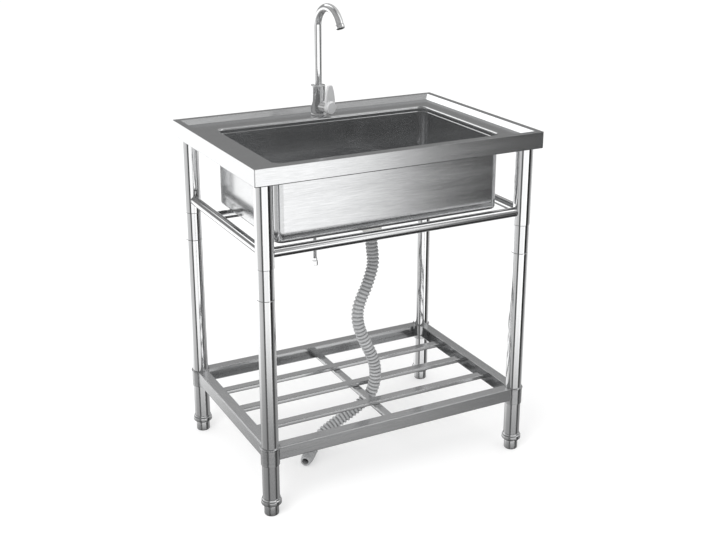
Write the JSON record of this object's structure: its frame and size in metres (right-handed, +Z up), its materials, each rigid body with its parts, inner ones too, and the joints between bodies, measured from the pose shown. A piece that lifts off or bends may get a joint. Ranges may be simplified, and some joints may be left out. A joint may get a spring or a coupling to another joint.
{
  "type": "utility sink",
  "caption": "Free-standing steel utility sink: a square-cornered bowl in a raised-rim deck on tube legs, with a gooseneck tap, slatted shelf and ribbed drain hose.",
  "frame": {"origin": "on the floor, under the middle of the deck", "axes": "+X to the right seen from the front, +Y from the front to the back, +Z up"},
  "size_m": [0.7, 0.5, 1.0609],
  "materials": {
    "bowl_and_deck": "fine horizontal brushing",
    "polished_steel": "polished",
    "tube_chrome": "mirror-polished tube",
    "shelf_satin": "satin",
    "foot_satin": "satin",
    "faucet_chrome": "bright chrome",
    "lever_satin": "satin chrome",
    "hose_plastic": "grey, slightly glossy ribs",
    "fitting_plastic": "off-white, matt",
    "gasket_rubber": "black, matt",
    "hose_braid": "fine steel braid"
  },
  "bodies": {
    "stand": {"sink_deck": "bowl_and_deck", "sink_bowl": "bowl_and_deck", "strainer_flange": "polished_steel", "strainer_gasket": "gasket_rubber", "shank_washer": "gasket_rubber", "strainer_locknut": "fitting_plastic", "strainer_tail": "fitting_plastic", "hose_nut": "fitting_plastic", "drain_hose": "hose_plastic", "hose_end": "hose_plastic", "faucet_base_ring": "faucet_chrome", "faucet_body": "faucet_chrome", "valve_bonnet": "faucet_chrome", "faucet_shank": "faucet_chrome", "shank_nut": "faucet_chrome", "supply_nut": "faucet_chrome", "supply_hose": "hose_braid", "upper_post_front_left": "tube_chrome", "leg_joint_front_left": "tube_chrome", "leg_front_left": "tube_chrome", "shelf_sleeve_front_left": "shelf_satin", "foot_collar_front_left": "foot_satin", "upper_post_front_right": "tube_chrome", "leg_joint_front_right": "tube_chrome", "leg_front_right": "tube_chrome", "shelf_sleeve_front_right": "shelf_satin", "foot_collar_front_right": "foot_satin", "upper_post_back_left": "tube_chrome", "leg_joint_back_left": "tube_chrome", "leg_back_left": "tube_chrome", "shelf_sleeve_back_left": "shelf_satin", "foot_collar_back_left": "foot_satin", "upper_post_back_right": "tube_chrome", "leg_joint_back_right": "tube_chrome", "leg_back_right": "tube_chrome", "shelf_sleeve_back_right": "shelf_satin", "foot_collar_back_right": "foot_satin", "left_rail": "tube_chrome", "right_rail": "tube_chrome", "front_rail": "tube_chrome", "bowl_support_bar": "tube_chrome", "shelf_rail_left": "shelf_satin", "shelf_rail_right": "shelf_satin", "shelf_rail_front": "shelf_satin", "shelf_rail_back": "shelf_satin", "shelf_slat_1": "shelf_satin", "shelf_slat_2": "shelf_satin", "shelf_slat_3": "shelf_satin", "shelf_crossbar": "shelf_satin"},
    "basket": {"strainer_basket": "polished_steel", "basket_knob": "polished_steel"},
    "spout_arm": {"spout": "faucet_chrome", "aerator": "faucet_chrome"},
    "lever_handle": {"lever": "lever_satin"},
    "screw_foot_front_left": {"foot_front_left": "foot_satin"},
    "screw_foot_front_right": {"foot_front_right": "foot_satin"},
    "screw_foot_back_left": {"foot_back_left": "foot_satin"},
    "screw_foot_back_right": {"foot_back_right": "foot_satin"}
  },
  "joints": [
    {"name": "spout_swivel", "type": "hinge", "parent": "stand", "child": "spout_arm", "pos_m": [0, 0.19, 0.85], "axis": [0, 0, 1], "continuous": true},
    {"name": "lever_turn", "type": "hinge", "parent": "stand", "child": "lever_handle", "pos_m": [0.01368, 0.15241, 0.811], "axis": [0.342, -0.9397, 0], "range_deg": [0, 90]},
    {"name": "basket_lift", "type": "slide", "parent": "stand", "child": "basket", "axis": [0, 0, 1], "range_m": [0, 0.04]},
    {"name": "foot_height_front_left", "type": "slide", "parent": "stand", "child": "screw_foot_front_left", "axis": [0, 0, -1], "range_m": [0, 0.02]},
    {"name": "foot_height_front_right", "type": "slide", "parent": "stand", "child": "screw_foot_front_right", "axis": [0, 0, -1], "range_m": [0, 0.02]},
    {"name": "foot_height_back_left", "type": "slide", "parent": "stand", "child": "screw_foot_back_left", "axis": [0, 0, -1], "range_m": [0, 0.02]},
    {"name": "foot_height_back_right", "type": "slide", "parent": "stand", "child": "screw_foot_back_right", "axis": [0, 0, -1], "range_m": [0, 0.02]}
  ]
}
